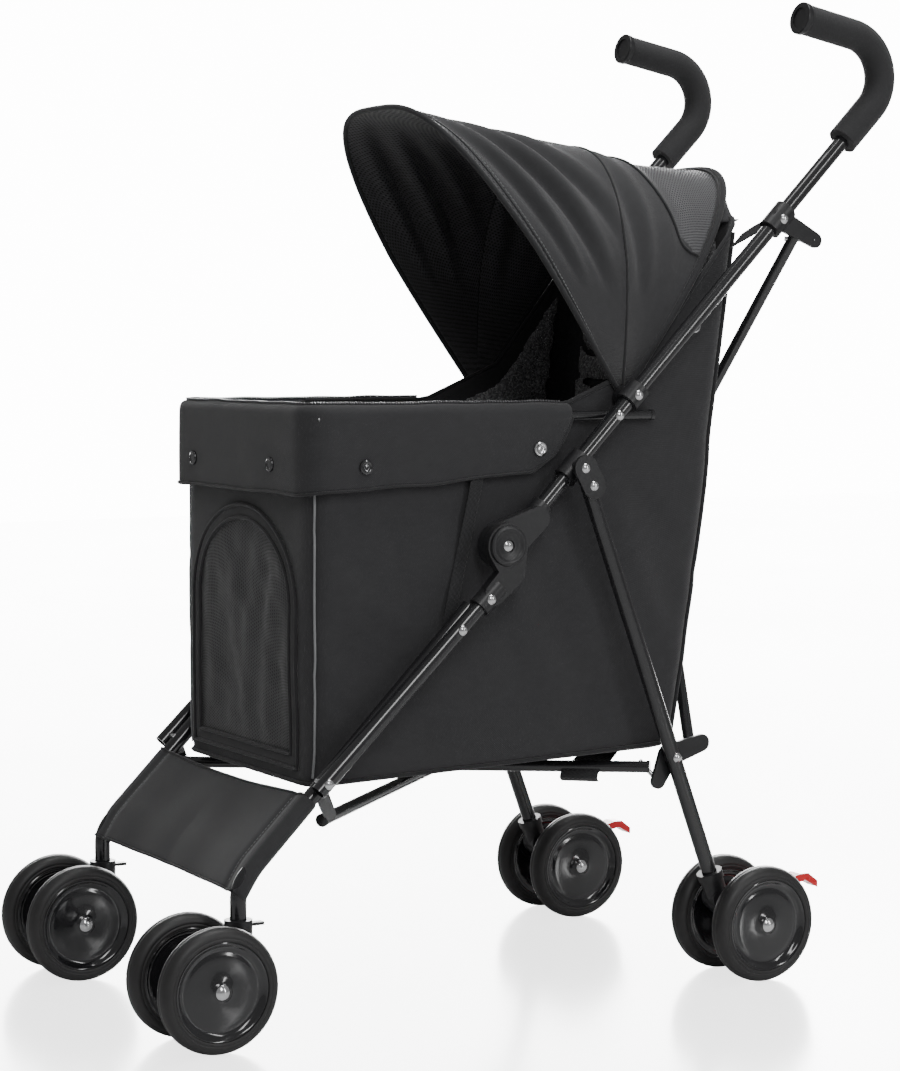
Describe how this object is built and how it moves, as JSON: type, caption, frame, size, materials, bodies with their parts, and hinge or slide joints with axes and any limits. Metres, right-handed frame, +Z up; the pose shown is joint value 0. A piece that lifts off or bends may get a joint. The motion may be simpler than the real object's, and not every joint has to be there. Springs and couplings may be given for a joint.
{
  "type": "pet stroller",
  "caption": "Folding pet stroller with an open-topped fabric cabin, tilting canopy, crossed braces, twin-wheel casters and red brake levers.",
  "frame": {"origin": "centre of the footprint at floor level", "axes": "+Z up, the front faces -Y, +X is the stroller's left"},
  "size_m": [0.4642, 0.8678, 1.0132],
  "materials": {
    "black_tube": "glossy black powder coat",
    "foam": "soft matt black foam",
    "moulding": "satin black moulded plastic",
    "rivet": "polished domed heads",
    "tyre": "smooth black",
    "wheel_plastic": "glossy black",
    "red_lever": "glossy red",
    "cloth": "black woven polyester",
    "canopy_cloth": "black woven polyester",
    "pad_cloth": "grey plush"
  },
  "bodies": {
    "cabin": {"cabin_bag": "cloth", "bag_collar": "cloth", "floor_pad": "pad_cloth", "canopy_rear": "canopy_cloth"},
    "canopy_hood": {"canopy_front": "canopy_cloth"},
    "side_left": {"handle_tube_left": "black_tube", "handle_grip_left": "foam", "grip_cap_left": "moulding", "upper_elbow_left": "moulding", "leg_bracket_left": "moulding", "brace_bracket_left": "moulding", "canopy_clamp_left": "moulding", "rim_arm_left": "black_tube", "side_rivets_left": "rivet"},
    "front_leg_left": {"lower_elbow_left": "moulding", "outer_tube_left": "black_tube", "leg_tube_left": "black_tube", "leg_rivets_left": "rivet", "footrest_panel": "cloth"},
    "caster_left": {"caster_fork_left": "moulding"},
    "front_wheels_left": {"front_tyres_left": "tyre", "front_wheel_discs_left": "wheel_plastic", "front_axle_left": "rivet"},
    "rear_leg_left": {"rear_leg_tube_left": "black_tube", "rear_housing_left": "moulding", "rear_bracket_left": "moulding", "rear_bolts_left": "rivet"},
    "rear_wheels_left": {"rear_tyres_left": "tyre", "rear_wheel_discs_left": "wheel_plastic", "rear_axle_left": "rivet"},
    "brake_left": {"brake_lever_left": "red_lever"},
    "back_brace_left": {"back_brace_left": "black_tube"},
    "floor_brace_left": {"floor_brace_left": "black_tube"},
    "side_right": {"handle_tube_right": "black_tube", "handle_grip_right": "foam", "grip_cap_right": "moulding", "upper_elbow_right": "moulding", "leg_bracket_right": "moulding", "brace_bracket_right": "moulding", "canopy_clamp_right": "moulding", "rim_arm_right": "black_tube", "side_rivets_right": "rivet"},
    "front_leg_right": {"lower_elbow_right": "moulding", "outer_tube_right": "black_tube", "leg_tube_right": "black_tube", "leg_rivets_right": "rivet"},
    "caster_right": {"caster_fork_right": "moulding"},
    "front_wheels_right": {"front_tyres_right": "tyre", "front_wheel_discs_right": "wheel_plastic", "front_axle_right": "rivet"},
    "rear_leg_right": {"rear_leg_tube_right": "black_tube", "rear_housing_right": "moulding", "rear_bracket_right": "moulding", "rear_bolts_right": "rivet"},
    "rear_wheels_right": {"rear_tyres_right": "tyre", "rear_wheel_discs_right": "wheel_plastic", "rear_axle_right": "rivet"},
    "brake_right": {"brake_lever_right": "red_lever"},
    "back_brace_right": {"back_brace_right": "black_tube"},
    "floor_brace_right": {"floor_brace_right": "black_tube"}
  },
  "joints": [
    {"name": "frame_fold", "type": "slide", "parent": "cabin", "child": "side_left", "axis": [-1, 0, 0], "range_m": [0, 0.1], "deforming": ["cabin_bag", "bag_collar", "floor_pad", "canopy_rear", "canopy_front", "footrest_panel"]},
    {"name": "fold_right", "type": "slide", "parent": "cabin", "child": "side_right", "axis": [1, 0, 0], "range_m": [0, 0.1]},
    {"name": "front_leg_fold_left", "type": "hinge", "parent": "side_left", "child": "front_leg_left", "pos_m": [0.183, -0.05487, 0.461], "axis": [-1, 0, 0], "range_deg": [0, 65.67]},
    {"name": "rear_leg_fold_left", "type": "hinge", "parent": "side_left", "child": "rear_leg_left", "pos_m": [0.18, 0.04613, 0.517], "axis": [-1, 0, 0], "range_deg": [0, 25.93]},
    {"name": "back_brace_swing_left", "type": "hinge", "parent": "side_left", "child": "back_brace_left", "pos_m": [0.16, 0.31173, 0.768], "axis": [-0.5442, -0.8365, 0.0643], "range_deg": [0, 24.4]},
    {"name": "floor_brace_swing_left", "type": "hinge", "parent": "rear_leg_left", "child": "floor_brace_left", "pos_m": [0.158, 0.13113, 0.2236], "axis": [-0.6287, -0.3645, 0.6869], "range_deg": [0, 41.84]},
    {"name": "front_leg_fold_right", "type": "hinge", "parent": "side_right", "child": "front_leg_right", "pos_m": [-0.183, -0.05487, 0.461], "axis": [-1, 0, 0], "range_deg": [0, 65.67]},
    {"name": "rear_leg_fold_right", "type": "hinge", "parent": "side_right", "child": "rear_leg_right", "pos_m": [-0.18, 0.04613, 0.517], "axis": [-1, 0, 0], "range_deg": [0, 25.93]},
    {"name": "back_brace_swing_right", "type": "hinge", "parent": "side_right", "child": "back_brace_right", "pos_m": [-0.16, 0.29853, 0.768], "axis": [-0.5442, 0.8365, -0.0643], "range_deg": [0, 24.4]},
    {"name": "floor_brace_swing_right", "type": "hinge", "parent": "rear_leg_right", "child": "floor_brace_right", "pos_m": [-0.158, 0.13113, 0.2104], "axis": [-0.6287, 0.3645, -0.6869], "range_deg": [0, 41.84]},
    {"name": "caster_swivel_left", "type": "hinge", "parent": "front_leg_left", "child": "caster_left", "pos_m": [0.168, -0.33587, 0.097], "axis": [0, 0, 1], "continuous": true},
    {"name": "front_wheel_spin_left", "type": "hinge", "parent": "caster_left", "child": "front_wheels_left", "pos_m": [0.168, -0.37387, 0.06], "axis": [1, 0, 0], "continuous": true},
    {"name": "rear_wheel_spin_left", "type": "hinge", "parent": "rear_leg_left", "child": "rear_wheels_left", "pos_m": [0.18, 0.23813, 0.06], "axis": [1, 0, 0], "continuous": true},
    {"name": "brake_press_left", "type": "hinge", "parent": "rear_leg_left", "child": "brake_left", "pos_m": [0.18, 0.26013, 0.078], "axis": [-1, 0, 0], "range_deg": [0, 18]},
    {"name": "caster_swivel_right", "type": "hinge", "parent": "front_leg_right", "child": "caster_right", "pos_m": [-0.168, -0.33587, 0.097], "axis": [0, 0, 1], "continuous": true},
    {"name": "front_wheel_spin_right", "type": "hinge", "parent": "caster_right", "child": "front_wheels_right", "pos_m": [-0.168, -0.37387, 0.06], "axis": [1, 0, 0], "continuous": true},
    {"name": "rear_wheel_spin_right", "type": "hinge", "parent": "rear_leg_right", "child": "rear_wheels_right", "pos_m": [-0.18, 0.23813, 0.06], "axis": [1, 0, 0], "continuous": true},
    {"name": "brake_press_right", "type": "hinge", "parent": "rear_leg_right", "child": "brake_right", "pos_m": [-0.18, 0.26013, 0.078], "axis": [-1, 0, 0], "range_deg": [0, 18]},
    {"name": "canopy_tilt", "type": "hinge", "parent": "cabin", "child": "canopy_hood", "pos_m": [0, 0.10713, 0.604], "axis": [-1, 0, 0], "range_deg": [0, 30], "deforming": ["canopy_rear"]}
  ],
  "couplings": [
    {"joint": "fold_right", "follows": "frame_fold", "ratio": 1},
    {"joint": "front_leg_fold_left", "follows": "frame_fold", "rad_per_m": 11.452},
    {"joint": "rear_leg_fold_left", "follows": "frame_fold", "rad_per_m": 4.5166},
    {"joint": "back_brace_swing_left", "follows": "frame_fold", "rad_per_m": 4.25},
    {"joint": "floor_brace_swing_left", "follows": "frame_fold", "rad_per_m": 7.2937},
    {"joint": "front_leg_fold_right", "follows": "frame_fold", "rad_per_m": 11.452},
    {"joint": "rear_leg_fold_right", "follows": "frame_fold", "rad_per_m": 4.5166},
    {"joint": "back_brace_swing_right", "follows": "frame_fold", "rad_per_m": 4.25},
    {"joint": "floor_brace_swing_right", "follows": "frame_fold", "rad_per_m": 7.2937}
  ]
}
